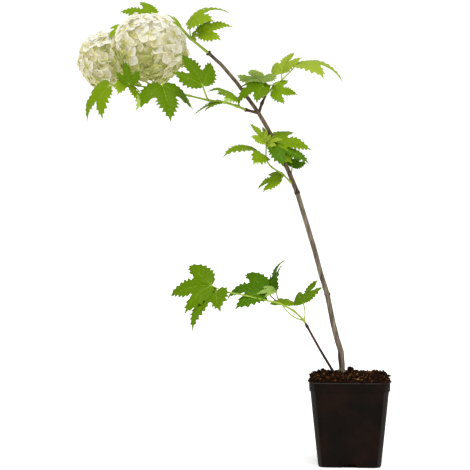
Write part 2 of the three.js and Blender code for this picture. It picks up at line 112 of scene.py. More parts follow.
def mottled(material, colours, size, stretch=(1, 1, 1), detail=3.0, low=0.35, high=0.65):
    """Spreads hex colours over a material in soft patches of a real size."""
    cloud = clouded(material, size, stretch, detail, roughness=0.6)
    ramp = add_node(material, "ShaderNodeValToRGB", {"Fac": (cloud, "Fac")})
    stops = ramp.color_ramp.elements
    while len(stops) < len(colours):
        stops.new(0.5)
    for k, colour in enumerate(colours):
        stops[k].position = low + (high - low) * k / (len(colours) - 1)
        stops[k].color = linear(colour)
    shader_link(material, "Base Color", ramp, "Color")


def relief(material, size, depth, stretch=(1, 1, 1)):
    """Adds fine noise relief of a real size and depth to a material."""
    grain = clouded(material, size, stretch, detail=4.0)
    bump = add_node(
        material, "ShaderNodeBump", {"Height": (grain, "Fac"), "Distance": depth, "Strength": 1.0},
    )
    shader_link(material, "Normal", bump, "Normal")


def only(kind, parts):
    """The vertices, edges or faces among the parts that an operator gives back."""
    return [part for part in parts if isinstance(part, kind)]


def paint(mesh, slot):
    """Gives every face of a mesh the same one of its piece's materials."""
    for face in mesh.faces:
        face.material_index = slot


def swept(places, sides, slot=0, reshape=None):
    """Extrudes a round section, or the loop that reshape makes of it, through a list of places."""
    solid = bmesh.new()
    ring = bmesh.ops.create_circle(solid, cap_ends=True, radius=1.0, segments=sides)["verts"]
    if reshape:
        reshape(ring)
    bmesh.ops.transform(solid, matrix=places[0], verts=ring)
    edges = solid.edges[:]
    for before, after in zip(places, places[1:]):
        grown = bmesh.ops.extrude_edge_only(solid, edges=edges)["geom"]
        edges = [edge for edge in only(BMEdge, grown) if edge.is_boundary]
        bmesh.ops.transform(solid, matrix=after @ before.inverted(), verts=only(BMVert, grown))
    bmesh.ops.contextual_create(solid, geom=edges)
    bmesh.ops.recalc_face_normals(solid, faces=solid.faces)
    paint(solid, slot)
    return solid


def baked(name, mesh):
    """Turns a finished bmesh into mesh data."""
    data = bpy.data.meshes.new(name)
    mesh.to_mesh(data)
    mesh.free()
    return data


def new_piece(name, mesh, materials, sharp_angle=50, place=None):
    """Makes an object of a mesh that is moved to its place; edges past an angle stay crisp."""
    if place:
        bmesh.ops.transform(mesh, matrix=place, verts=mesh.verts)
    for face in mesh.faces:
        face.smooth = True
    for edge in mesh.edges:
        edge.smooth = edge.calc_face_angle(0) < radians(sharp_angle)
    piece = bpy.data.objects.new(name, baked(name, mesh))
    for material in materials:
        piece.data.materials.append(material)
    bpy.context.scene.collection.objects.link(piece)
    return piece


def square_off(ring):
    """Pushes the quarters of a circle apart, so that it becomes a square with round corners. The
    circle is turned by half a step first, so that no point of it lies between two quarters."""
    half_step = Matrix.Rotation(pi / len(ring), 4, "Z")
    for vert in ring:
        vert.co = half_step @ vert.co * pot_corner
        vert.co.x += copysign(1 - pot_corner, vert.co.x)
        vert.co.y += copysign(1 - pot_corner, vert.co.y)


def body_half(height):
    """The half width of the pot's body at a height."""
    return foot_half + (shoulder_half - foot_half) * height / rim_level


# The wall's section, from its foot up the outside, over the rim and down inside to the floor, as
# half widths and heights.
pot_profile = [
    (foot_half - 2.6 * mm, 0), (foot_half - 0.9 * mm, 0.4 * mm), (foot_half, 2.2 * mm),
    (body_half(30 * mm), 30 * mm), (body_half(60 * mm), 60 * mm),
    (shoulder_half - 0.1 * mm, rim_level - 0.9 * mm), (shoulder_half + 0.1 * mm, rim_level - 0.1 * mm),
    (rim_half - 0.7 * mm, rim_level), (rim_half - 0.35 * mm, rim_level + 0.5 * mm),
    (rim_half - 0.1 * mm, pot_height - 1.0 * mm), (rim_half - 0.3 * mm, pot_height - 0.2 * mm),
    (rim_half - 0.8 * mm, pot_height), (rim_half - pot_wall, pot_height - 0.3 * mm),
    (rim_half - pot_wall - 0.4 * mm, rim_level + pot_wall),
    (shoulder_half - pot_wall, rim_level + pot_wall - 0.6 * mm),
    (body_half(30 * mm) - pot_wall, 30 * mm), (body_half(4 * mm) - pot_wall, 4 * mm),
    (foot_half - pot_wall - 2 * mm, pot_floor),
]
pot_sides = 48  # points round a level section
pot_rings = [Matrix.LocRotScale(Vector((0, 0, height)), None, (half,) * 3) for half, height in pot_profile]
pot_mesh = swept(pot_rings, pot_sides, reshape=square_off)

cutters = bmesh.new()
for quarter in range(4):
    turn = Matrix.Rotation(quarter * pi / 2, 4, "Z")
    bmesh.ops.create_cone(
        cutters, cap_ends=True, segments=24, radius1=drain_radius, radius2=drain_radius,
        depth=6 * pot_floor, matrix=turn @ Matrix.Translation((drain_offset, drain_offset, 0)),
    )
    notch_place = turn @ Matrix.Translation((0, -foot_half, 0)) @ Matrix.Rotation(pi / 2, 4, "X")
    bmesh.ops.create_cone(
        cutters, cap_ends=True, segments=32, radius1=1, radius2=1, depth=1,
        matrix=notch_place @ Matrix.Diagonal((notch_half_width, notch_height, notch_depth, 1)),
    )

# Moulded polypropylene: near black with a brown cast, satin, with a faint orange-peel skin.
pot_plastic = new_material("moulded_polypropylene", "#0f0a06", 0.5, gloss=0.04)
mottled(pot_plastic, ["#0d0905", "#110b07", "#190e09"], 38 * mm)
relief(pot_plastic, 0.9 * mm, 0.035 * mm)
# The same plastic, painted paler down the corners and along the rim's edge: a painted reflection of the
# bright room on the rounded corners, and a painted highlight along the rim's top.
corner_reflection_plastic = new_material("polypropylene_painted_corner_reflection", "#1a1511", 0.5, gloss=0.1)
rim_highlight_plastic = new_material("polypropylene_painted_rim_highlight", "#27211b", 0.5, gloss=0.2)
pot_materials = [pot_plastic, corner_reflection_plastic, rim_highlight_plastic]
rim_highlight_depth = 0.9 * mm
corner_facing = 0.45  # a corner's faces look at least this much towards both of its sides
# Faces at the rim's top get the painted highlight, and faces on the corners get the painted reflection.
for face in pot_mesh.faces:
    if face.calc_center_median().z > pot_height - rim_highlight_depth:
        face.material_index = pot_materials.index(rim_highlight_plastic)
    elif min(abs(face.normal.x), abs(face.normal.y)) > corner_facing:
        face.material_index = pot_materials.index(corner_reflection_plastic)

pot = new_piece("nursery_pot", pot_mesh, pot_materials, sharp_angle=38)
cutter = new_piece("pot_cutters", cutters, [pot_plastic])
pot_cuts = pot.modifiers.new("drain holes and notches", "BOOLEAN")
pot_cuts.object = cutter
pot_cuts.solver = "EXACT"
cut_pot = bpy.data.meshes.new_from_object(pot.evaluated_get(bpy.context.evaluated_depsgraph_get()))
pot.modifiers.clear()
pot.data = cut_pot
bpy.data.objects.remove(cutter)
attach(pot, "root")
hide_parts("pot")

# ----------------------------------------
# Potting mix: composted bark, peat and wood fibre, heaped over the rim round the foot of the
# plant. A lumpy bulk carries loose crumbs, splinters and fibres.

mix_half = 43.2 * mm
mix_corner = 8 * mm
mix_brink_level = 95.5 * mm
mix_brink_width = 2.5 * mm  # over which it rises to its level inside
mix_level_inside = 98.6 * mm
mix_heap = 3.6 * mm
mix_heap_middle = -9 * mm
mix_heap_width = 17 * mm
mix_foot = 3 * mm
lump_height, lump_width = 4 * mm, 7 * mm
scatter_corner = 9 * mm
crumb_count = 2300
least_crumb, most_crumb = 0.7 * mm, 2.8 * mm
pale_crumb = 1.6 * mm  # only smaller ones can be wood fibre or perlite
bark_kinds = 6  # the kinds that come before those two
splinter_count = 170
splinter_shares = [7, 7, 5, 4, 2, 1]  # of the kinds from dark bark to wood fibre
fibre_count = 460
fibre_steps = 4
fibre_width = 0.22 * mm
fibre_left, fibre_right = -47 * mm, 46.5 * mm  # how far they hang over the rim
fibre_front = 44.5 * mm
fibre_kinds = [1, 2, 3, 3, 4, 4, 5, 6]  # among the kinds, each as often as it comes
clump_lift = 0.55  # in parts of its size
clumps = [
    (-22, -4, 4.4), (-27, 6, 3.0), (7, 4, 4.8), (1, 9, 4.4), (11, -4, 3.2), (31, 12, 3.4), (-37, -9, 2.8),
    (26, -20, 2.8), (-9, -22, 3.1), (37, 3, 2.6), (-14, -12, 2.6),
]  # the largest lumps: their places and sizes in mm
dice = random.Random(7)


def in_rounded_square(x, y, half, corner):
    """Draws a point in to the outline of a square with round corners."""
    x = max(-half, min(half, x))
    y = max(-half, min(half, y))
    inner = half - corner
    if abs(x) > inner and abs(y) > inner:
        over = Vector((abs(x) - inner, abs(y) - inner))
        if over.length > corner:
            over *= corner / over.length
        x = copysign(inner + over.x, x)
        y = copysign(inner + over.y, y)
    return x, y


def mix_level(x, y):
    """The height of the mix's bulk at a place: level inside the rim, and heaped by the stems."""
    from_brink = max(0, mix_half - max(abs(x), abs(y)))
    level = mix_level_inside + (mix_brink_level - mix_level_inside) * exp(-from_brink / mix_brink_width)
    heap = mix_heap * exp(-((hypot(x - mix_heap_middle, y) / mix_heap_width) ** 2))
    lump = lump_height * noise.noise(Vector((x, y, 0)) / lump_width)
    fine = 0.8 * mm * noise.noise(Vector((x, y, 1)) / (2.2 * mm))
    return level + heap + lump + fine


scrap = bpy.data.meshes.new("scrap")


def put_in(piece_mesh, part, place=None):
    """Moves a finished part into the mesh of its piece, by way of one scrap mesh."""
    if place:
        bmesh.ops.transform(part, matrix=place, verts=part.verts)
    part.to_mesh(scrap)
    part.free()
    piece_mesh.from_mesh(scrap)


mix_mesh = bmesh.new()
bmesh.ops.create_grid(mix_mesh, x_segments=70, y_segments=70, size=mix_half)
for vert in mix_mesh.verts:
    vert.co.x, vert.co.y = in_rounded_square(vert.co.x, vert.co.y, mix_half, mix_corner)
    vert.co.z = mix_level(vert.co.x, vert.co.y)
bmesh.ops.remove_doubles(mix_mesh, verts=mix_mesh.verts, dist=0.02 * mm)
mix_margin = [edge for edge in mix_mesh.edges if edge.is_boundary]
# Inside the pot the mix narrows below the rim, and again down to the pot's floor.
for level, narrowing in ((84 * mm, 0.96), (mix_foot, 0.76)):
    grown = bmesh.ops.extrude_edge_only(mix_mesh, edges=mix_margin)["geom"]
    mix_margin = only(BMEdge, grown)
    for vert in only(BMVert, grown):
        vert.co = (vert.co.x * narrowing, vert.co.y * narrowing, level)
bmesh.ops.contextual_create(mix_mesh, geom=mix_margin)
bmesh.ops.recalc_face_normals(mix_mesh, faces=mix_mesh.faces)

# Composted bark: each crumb has one colour, dealt out at random, so the heap looks speckled. The
# bulk is peat in soft patches. Each kind has its name, its colour and its share of the crumbs.
mix_kinds = [
    ("peat", "#0b0704", 36), ("dark_bark", "#120b06", 26), ("brown_bark", "#1c1008", 15),
    ("red_bark", "#32190a", 11), ("rust_bark", "#4f290e", 8), ("tan_bark", "#68411b", 4.5),
    ("wood_fibre", "#856843", 1.8), ("perlite", "#aca48f", 0.8),
]
mix_materials = [
    new_material(f"composted_{name}", tint, 0.9, gloss=0.04) for name, tint, _ in mix_kinds
]
mottled(mix_materials[0], ["#0e0905", "#180f09", "#2e1a0e"], 2.5 * mm)
relief(mix_materials[0], 0.8 * mm, 0.5 * mm)


def mix_place(margin, lift):
    """A random place on the heap, and a random turn."""
    spread = mix_half + margin
    x, y = in_rounded_square(
        dice.uniform(-spread, spread), dice.uniform(-spread, spread), spread, scatter_corner,
    )
    turn = Matrix.Rotation(dice.uniform(0, 2 * pi), 4, "Z")
    tilt = Matrix.Rotation(dice.gauss(0, 0.45), 4, "X")
    return Matrix.Translation((x, y, mix_level(x, y) + lift)) @ turn @ tilt


kind_shares = [share for _, _, share in mix_kinds]
for _ in range(crumb_count):
    size = least_crumb + (most_crumb - least_crumb) * dice.random() ** 2.2
    crumb = bmesh.new()
    bmesh.ops.create_icosphere(crumb, subdivisions=1, radius=1)
    for vert in crumb.verts:
        vert.co *= dice.uniform(0.65, 1.1)
    width, depth = size * dice.uniform(0.5, 0.9), size * dice.uniform(0.4, 0.8)
    shape = Matrix.Diagonal((size, width, depth, 1))
    kinds = len(mix_kinds) if size < pale_crumb else bark_kinds
    paint(crumb, dice.choices(range(kinds), kind_shares[:kinds])[0])
    put_in(mix_mesh, crumb, mix_place(2 * mm, 0.5 * size) @ shape)
for x, y, size in clumps:
    clump = bmesh.new()
    bmesh.ops.create_icosphere(clump, subdivisions=2, radius=1)
    for vert in clump.verts:
        vert.co *= dice.uniform(0.72, 1.1)
    place = Matrix.Translation((x * mm, y * mm, mix_level(x * mm, y * mm) + clump_lift * size * mm))
    put_in(mix_mesh, clump, place @ Matrix.Diagonal((size * mm, size * mm, 0.75 * size * mm, 1)))
for _ in range(splinter_count):
    length = dice.uniform(3.5, 10) * mm
    splinter = bmesh.new()
    bmesh.ops.create_cube(splinter, size=1)
    for vert in splinter.verts:
        vert.co.y *= 1 - 0.8 * (vert.co.x + 0.5) * dice.random()
    shape = Matrix.Diagonal((length, dice.uniform(0.8, 2) * mm, dice.uniform(0.4, 0.9) * mm, 1))
    turned = mix_place(-3 * mm, 0.8 * mm) @ Matrix.Rotation(dice.gauss(0, 0.3), 4, "Y")
    paint(splinter, dice.choices(range(1, 7), splinter_shares)[0])
    put_in(mix_mesh, splinter, turned @ shape)
for _ in range(fibre_count):
    length = dice.uniform(3, 10) * mm
    place = mix_place(0.5 * mm, 0.6 * mm)
    turn = place.to_quaternion() @ Matrix.Rotation(pi / 2, 3, "Y").to_quaternion()
    bend = dice.uniform(-0.5, 0.5)
    lift = dice.uniform(-0.1, 1.3)
    fibre_places = []
    for k in range(fibre_steps + 1):
        t = k / fibre_steps
        point = place @ Vector((length * t, length * bend * t * t, length * lift * t * (1 - 0.4 * t)))
        point.x = max(fibre_left, min(fibre_right, point.x))
        point.y = max(-fibre_front, min(fibre_front, point.y))
        fibre_places.append(Matrix.LocRotScale(point, turn, (fibre_width * (1 - 0.6 * t),) * 3))
    put_in(mix_mesh, swept(fibre_places, 3, slot=dice.choice(fibre_kinds)))

mix = new_piece("bark_and_peat_mix", mix_mesh, mix_materials, sharp_angle=30)
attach(mix, "root")
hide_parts("potting_mix")

# ----------------------------------------
# Trunk: one slender leaning stem of second-year wood, with thin grey-tan bark and fine furrows
# along it. A dark swollen ring ends each year's growth, and old leaves have left their scars.

# What grows is made in the plant's own frame, which stands turned and a little to the left in the
# pot. A joint is (length in mm, bearing, rise), as a shoot grows: a bearing is read in plan (0 is
# +X, 90 is +Y) and a rise is the angle above level, both in degrees.
turned_in_pot = 4.5  # degrees, seen from above
set_left = 3.5 * mm
plant_place = Matrix.Translation((-set_left, 0, 0)) @ Matrix.Rotation(radians(turned_in_pot), 4, "Z")
trunk_foot = Vector((-5, 0, 102.5)) * mm
flare_height = 4 * mm
trunk_joints = [
    (19, 180, 87), (15, 168, 72), (21, 168, 76), (31, 180, 79), (23, 188, 72), (30, 187, 75),
    (67, 186, 73), (27, 174, 68), (42, 174, 64.5), (15, 180, 61), (16, 187, 59.5),
    (43, 184, 54), (26.5, 177, 49.5), (19.5, 176, 42),
]
flare_width = 9 * mm
foot_width = 7 * mm
tip_width = 3.8 * mm
joint_reach = 2.2 * mm  # how far from a joint its swelling has faded
ring_half = 0.9 * mm
ring_slot, bud_slot, young_slot = 1, 2, 3  # a limb's materials, after its own bark
up = Vector((0, 0, 1))


def heading(bearing, rise):
    """A unit direction from a bearing and a rise in degrees."""
    level = cos(radians(rise))
    turn = radians(bearing)
    return Vector((level * cos(turn), level * sin(turn), sin(radians(rise))))


def grow(start, joints):
    """The joints of a stem from where it starts, with lengths in mm."""
    line = [Vector(start)]
    for length, bearing, rise in joints:
        line.append(line[-1] + heading(bearing, rise) * length * mm)
    return line


def finely(line, widths, spacing):
    """Samples a jointed line: its points, their widths and how far each is from a joint."""
    points, sizes, from_joint = [], [], []
    for k in range(len(line) - 1):
        length = (line[k + 1] - line[k]).length
        count = max(2, round(length / spacing))
        for i in range(count + (k == len(line) - 2)):
            t = i / count
            points.append(line[k].lerp(line[k + 1], t))
            sizes.append(widths[k] + (widths[k + 1] - widths[k]) * t)
            near_start = t * length if k > 0 else length
            near_end = (1 - t) * length if k < len(line) - 2 else length
            from_joint.append(min(near_start, near_end))
    return points, sizes, from_joint


def eased(points, rounds):
    """Rounds the kinks of a line, with its two ends kept."""
    for _ in range(rounds):
        inner = [(a + b * 2 + c) / 4 for a, b, c in zip(points, points[1:], points[2:])]
        points = [points[0], *inner, points[-1]]
    return points


def along_line(points, widths):
    """The places of round sections of given widths along a line."""
    places = []
    across = Vector((1, 0.2, 0.1))
    for k, point in enumerate(points):
        ahead = (points[min(k + 1, len(points) - 1)] - points[max(k - 1, 0)]).normalized()
        across = (across - ahead * across.dot(ahead)).normalized()
        turn = Matrix((across, ahead.cross(across), ahead)).transposed()
        places.append(Matrix.LocRotScale(point, turn.to_quaternion(), (widths[k] / 2,) * 3))
    return places


def evenly(count, first, last):
    """Widths that run evenly from a stem's foot to its tip."""
    return [first + (last - first) * k / (count - 1) for k in range(count)]


def woody(line, widths, furrow, sides=24, ringed=(), swelling=0.22, young_from=None):
    """A woody limb, furrowed along its bark, with a dark swollen ring at some of its joints. Past
    the joint young_from its bark is young."""
    points, sizes, _ = finely(line, widths, 1.3 * mm)
    for k, point in enumerate(points):
        for joint in ringed:
            gap = (point - line[joint]).length / joint_reach
            sizes[k] *= 1 + swelling * exp(-gap * gap)
    points = eased(points, 4)
    limb = swept(along_line(points, sizes), sides)
    for vert in limb.verts:
        nearest = min(range(len(points)), key=lambda k: (points[k] - vert.co).length_squared)
        out = vert.co - points[nearest]
        grain = noise.noise(Vector((vert.co.x / 1.4, vert.co.y / 1.4, vert.co.z / 9)) / mm)
        knots = noise.noise(vert.co / (5 * mm))
        vert.co += out * (furrow * grain + 0.5 * furrow * knots)
    for face in limb.faces:
        centre = face.calc_center_median()
        if young_from and centre.z > line[young_from].z:
            face.material_index = young_slot
        for joint in ringed:
            ahead = (line[min(joint + 1, len(line) - 1)] - line[joint - 1]).normalized()
            if abs((centre - line[joint]).dot(ahead)) < ring_half:
                face.material_index = ring_slot
    return limb


def add_lump(mesh, place, out, ahead, size, slot):
    """A small flat lump on a stem: a bud or the scar of an old leaf."""
    turn = Matrix((out, ahead.cross(out), ahead)).transposed()
    lump = bmesh.new()
    bmesh.ops.create_uvsphere(lump, u_segments=10, v_segments=8, radius=1)
    paint(lump, slot)
    put_in(mesh, lump, Matrix.LocRotScale(place, turn.to_quaternion(), Vector(size) * mm))


def add_bud_pair(mesh, line, joint, width, stout=1):
    """A pair of buds on opposite sides of a joint, pressed against the stem."""
    ahead = (line[joint] - line[joint - 1]).normalized()
    side = ahead.cross(Vector((0, 1, 0))).normalized()
    size = (0.7 * stout, 0.8 * stout, 1.5)
    for out in (-side, side):
        add_lump(mesh, line[joint] + out * 0.55 * width, out, ahead, size, bud_slot)


# Thin bark of the second year: grey tan with long brown streaks, matt, with fine furrows.
grey_bark = new_material("grey_tan_bark", "#9a8d79", 0.8, gloss=0.2)
mottled(
    grey_bark, ["#332a20", "#544b3d", "#6d6253", "#867b69"], 2.6 * mm,
    stretch=(1, 1, 0.09), detail=4, low=0.3, high=0.68,
)
relief(grey_bark, 1.1 * mm, 0.25 * mm, stretch=(1, 1, 0.3))
# Bark of last year, above the ring: browner and a little smoother.
young_bark = new_material("tan_brown_bark", "#7d6a54", 0.7, gloss=0.25)
mottled(
    young_bark, ["#33271c", "#504132", "#6a5a47", "#81725d"], 2.6 * mm,
    stretch=(1, 1, 0.12), detail=4, low=0.3, high=0.68,
)
# Rings, old leaf scars and bud scales: dark dry brown.
scar_bark = new_material("leaf_scar_bark", "#2e1d14", 0.85)
bud_scale = new_material("dry_bud_scale", "#33201a", 0.7)

year_ring = 8  # the joint where last year's growth starts
scarred_joint = 5
trunk_line = [trunk_foot, *grow(trunk_foot + up * flare_height, trunk_joints)]
trunk_widths = [flare_width, *evenly(len(trunk_line), foot_width, tip_width)[1:]]
trunk_mesh = woody(
    trunk_line, trunk_widths, furrow=0.05, ringed=(year_ring, len(trunk_line) - 1), young_from=year_ring,
)
left = Vector((-1, -0.2, 0))
# Two scars of old leaves at one joint, and a long dark patch down the left of the trunk's foot, all in the
# rings' dark brown.
for place, out, size in (
    (trunk_line[scarred_joint] + left * 2.9 * mm, left, (0.9, 1.1, 1.6)),
    (trunk_line[scarred_joint] - left * 2.7 * mm, -left, (0.9, 1.5, 2.2)),
    (Vector((-7.9, -1.8, 117)) * mm, Vector((-1, -0.7, 0)), (1.3, 2, 11)),
):
    add_lump(trunk_mesh, place, out.normalized(), heading(180, 80), size, ring_slot)
add_bud_pair(trunk_mesh, trunk_line, len(trunk_line) - 1, tip_width, stout=1.9)
trunk = new_piece("trunk_bark", trunk_mesh, [grey_bark, scar_bark, bud_scale, young_bark], place=plant_place)
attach(trunk, "root")
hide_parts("trunk")

# ----------------------------------------
# Side stem and boughs: last year's thinner wood. The side stem comes up from the mix beside the
# trunk, and the two boughs leave the trunk at one joint. Their smooth bark is red-brown or brown.

fork_joint = 12
side_foot = Vector((-14, 2, 101.8)) * mm
side_joints = [(32.5, 184, 59), (28.5, 184, 61)]
brown_shoot_foot = (5, 196, 61)  # the low spray's shoot is still brown at its foot
side_line = grow(side_foot, [*side_joints, brown_shoot_foot])
right_line = grow(trunk_line[fork_joint], [(12, 344, 72), (9.5, 0, 63)])
flower_line = grow(trunk_line[fork_joint], [(15.5, 188, 14)])

# Young bark: smooth, with a slight shine; red-brown, darker towards the foot.
red_bark = new_material("smooth_red_brown_bark", "#36201a", 0.5, gloss=0.3)
mottled(red_bark, ["#1d110e", "#35201a", "#4f2f25"], 6 * mm, stretch=(1, 1, 0.3))
brown_bark = new_material("smooth_brown_bark", "#43301f", 0.55, gloss=0.3)
mottled(brown_bark, ["#2a1b12", "#40291c", "#5c4230"], 4 * mm, stretch=(1, 1, 0.4))

for node, line, ringed_joint, foot, tip, bark in (
    ("side_stem", side_line, 2, 3.1 * mm, 2.4 * mm, red_bark),
    ("right_bough", right_line, 1, 3.4 * mm, 2.6 * mm, brown_bark),
    ("flower_bough", flower_line, 1, 3.6 * mm, 3 * mm, brown_bark),
):
    limb_mesh = woody(
        line, evenly(len(line), foot, tip), furrow=0.035, sides=16, ringed=(ringed_joint,), swelling=0.45,
    )
    add_bud_pair(limb_mesh, line, ringed_joint, tip)
    limb = new_piece(f"{node}_bark", limb_mesh, [bark, scar_bark, bud_scale], place=plant_place)
    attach(limb, "root")
    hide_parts(node)

# ----------------------------------------
# Leafy sprays: soft green shoots of this spring, with three-lobed, coarsely toothed leaves on
# thin stalks. A blade is folded along its midrib, droops, and is puckered by its veins.

# One half of a blade's outline from the stalk round to the tip, in parts of its length.
half_outline = [
    (-0.04, 0.07), (-0.06, 0.145), (-0.03, 0.205), (-0.06, 0.285), (0, 0.3), (-0.015, 0.385),
    (0.055, 0.375), (0.05, 0.465), (0.125, 0.44), (0.145, 0.54), (0.215, 0.505), (0.26, 0.59),
    (0.33, 0.555), (0.41, 0.61), (0.44, 0.575), (0.555, 0.62), (0.5, 0.52), (0.55, 0.49),
    (0.475, 0.425), (0.505, 0.375), (0.42, 0.31), (0.385, 0.215), (0.44, 0.175), (0.5, 0.25),
    (0.525, 0.18), (0.6, 0.245), (0.61, 0.165), (0.69, 0.21), (0.7, 0.12), (0.78, 0.155),
    (0.79, 0.08), (0.87, 0.095), (0.885, 0.035),
]
# The veins of one half: the midrib, the lobe's own rib and the side veins that run to the teeth.
midrib = [(0, 0), (0.5, 0), (0.97, 0)]
half_veins = [
    [(0, 0), (0.2, 0.2), (0.37, 0.42), (0.53, 0.6)],
    [(0, 0), (0.02, 0.16), (-0.01, 0.36)],
    [(0.07, 0.08), (0.09, 0.26), (0.06, 0.44)], [(0.16, 0.16), (0.18, 0.35), (0.15, 0.51)],
    [(0.27, 0.29), (0.28, 0.45), (0.265, 0.56)], [(0.22, 0.23), (0.35, 0.29), (0.48, 0.37)],
    [(0.33, 0.37), (0.43, 0.43), (0.53, 0.48)], [(0.2, 0), (0.3, 0.11), (0.38, 0.22)],
    [(0.32, 0), (0.4, 0.12), (0.47, 0.235)], [(0.44, 0), (0.52, 0.13), (0.58, 0.255)],
    [(0.56, 0), (0.62, 0.11), (0.68, 0.225)], [(0.68, 0), (0.72, 0.08), (0.77, 0.165)],
    [(0.8, 0), (0.83, 0.06), (0.855, 0.12)],
]
grid_step = 0.025  # between the lines that the flat blade is cut along
blade_thickness = 0.3 * mm
vein_thickness = 0.7  # as a share of its width
midrib_width = 0.015
side_vein_width = 0.006
vein_tip_width = 0.003
fold = 16  # degrees that each half of a blade rises from its midrib
puff = 0.024  # how far the blade swells between its veins, in parts of its length
vein_hollow = 0.04  # half the width of the hollow along a vein
wave = 0.05  # how far it waves towards its margin, with a finer flutter on top
flutter = 0.012


def both_halves(line):
    """A line of one half and its mirror image in the other."""
    return line, [(x, -y) for x, y in line]


vein_lines = [midrib, *(half for line in half_veins for half in both_halves(line))]
vein_steps = [(Vector(a), Vector(b)) for line in vein_lines for a, b in zip(line, line[1:])]


def vein_distance(place):
    """How far a place in the flat blade is from the nearest vein."""
    least = 1.0
    for a, b in vein_steps:
        step = b - a
        t = max(0.0, min(1.0, (place - a).dot(step) / step.length_squared))
        least = min(least, (place - a - step * t).length)
    return least


def along(line, joint):
    """A place on a stem, where 2.5 is half-way from its second joint to its third."""
    whole = min(int(joint), len(line) - 2)
    return line[whole].lerp(line[whole + 1], joint - whole)


# The flat blade: its outline as one face, cut along a grid, then given an underside.
flat_blade = bmesh.new()
right_half, left_half = both_halves(half_outline)
outline = [(0.0, 0.0), *right_half, (1.0, 0.0), *reversed(left_half)]
flat_blade.faces.new([flat_blade.verts.new((x, y, 0)) for x, y in outline])
for axis, first, last in (((1, 0, 0), -0.05, 1.0), ((0, 1, 0), -0.6, 0.61)):
    for k in range(round((last - first) / grid_step)):
        at = Vector(axis) * (first + k * grid_step)
        everything = [*flat_blade.verts, *flat_blade.edges, *flat_blade.faces]
        bmesh.ops.bisect_plane(flat_blade, geom=everything, dist=1e-5, plane_co=at, plane_no=axis)
bmesh.ops.recalc_face_normals(flat_blade, faces=flat_blade.faces)
if flat_blade.faces[:][0].normal.z < 0:
    bmesh.ops.reverse_faces(flat_blade, faces=flat_blade.faces)
everything = [*flat_blade.verts, *flat_blade.edges, *flat_blade.faces]
under = bmesh.ops.duplicate(flat_blade, geom=everything)["geom"]
bmesh.ops.reverse_faces(flat_blade, faces=only(BMFace, under))
bmesh.ops.translate(flat_blade, vec=(0, 0, -1), verts=only(BMVert, under))
for face in only(BMFace, under):
    face.material_index = 1
bmesh.ops.bridge_loops(flat_blade, edges=[edge for edge in flat_blade.edges if edge.is_boundary])
# The veins are thin pale ribs on the upper side, and each lies in a hollow.
for line in vein_lines:
    steps = [Vector((*place, 0)) for place in line]
    points = [along(steps, k / 3) for k in range(3 * len(steps) - 2)]
    widths = evenly(len(points), midrib_width if line[0] == midrib[0] else side_vein_width, vein_tip_width)
    put_in(flat_blade, swept(along_line(points, widths), 4, slot=2))
blade_data = baked("flat blade", flat_blade)
vein_gaps = [vein_distance(Vector(vert.co[:2])) for vert in blade_data.vertices]


def bent_blade(base, leaf):
    """Bends a flat blade into place: gives the point and the upper face's direction for a place
    in its outline. The midrib is an arc; each half is folded up from it and curls down again."""
    length, bearing, rise = leaf.blade
    length *= mm
    chord = heading(bearing, rise)
    face = (up - chord * chord.z).normalized()
    face.rotate(Matrix.Rotation(radians(leaf.roll), 3, chord))
    side = face.cross(chord)
    half = radians(leaf.droop) / 2
    radius = length / (2 * sin(half))
    wide = length * leaf.width

    def bend(along_rib, across):
        slope = half * (1 - 2 * along_rib)
        rib = base + chord * radius * (sin(half) - sin(slope))
        rib += face * radius * (cos(slope) - cos(half))
        upper = face * cos(slope) - chord * sin(slope)
        lift = radians(fold - leaf.curl * abs(across) / 2)
        turn = radians(fold - leaf.curl * abs(across))
        point = rib + side * across * wide * cos(lift) + upper * abs(across) * wide * sin(lift)
        if across == 0:
            return point, upper
        return point, upper * cos(turn) - side * copysign(sin(turn), across)

    return bend


# Living leaf tissue: each leaf is one plain green, from full-grown to just opened, satin above
# and paler and matt below.
leaf_tints = {
    "deep": "#385d01", "full": "#446901", "mid": "#557401", "bright": "#6b8704", "fresh": "#8aa326",
    "spring": "#7a9412", "lime": "#8b9f2e", "pale": "#8ba650", "young": "#98a740",
}
leaf_greens = [
    new_material(f"leaf_{name}_green", tint, 0.42, gloss=0.05)
    for name, tint in leaf_tints.items()
]
leaf_under = new_material("leaf_underside_green", "#97af54", 0.7, gloss=0.1)
leaf_vein = new_material("leaf_vein_green", "#7d9f2c", 0.6, gloss=0.1)
leaf_materials = [*leaf_greens, leaf_under, leaf_vein]
under_slot = len(leaf_greens)
vein_slot = under_slot + 1

# Soft shoots and leaf stalks: yellow-green, and red where the sun has caught them.
shoot_green = new_material("yellow_green_shoot", "#8ba426", 0.45, gloss=0.35)
stalk_green = new_material("pale_green_leaf_stalk", "#94aa3c", 0.5, gloss=0.3)
stalk_red = new_material("reddened_leaf_stalk", "#80604a", 0.5, gloss=0.3)
shoot_materials = [shoot_green, stalk_green, stalk_red, bud_scale]

# A leaf's joint is where on its shoot it starts, its stalk and blade are steps like a shoot's,
# its roll turns the blade about its midrib, its droop bends the midrib, and its curl is how far
# each half turns down again by one blade's length from it, all in degrees. Its width and stout
# scale its blade across and its stalk, and its bow pulls the stalk's middle aside, in mm.
Leaf = namedtuple(
    "Leaf", "joint stalk blade roll droop green curl width bow stout red",
    defaults=(60, 1, (0, 0, 0), 1, False),
)
# A spray is its shoot's widths at foot and tip in mm, its joints and its leaves, and a twig may
# leave it at one of them.
Spray = namedtuple("Spray", "widths joints leaves twig", defaults=(None,))

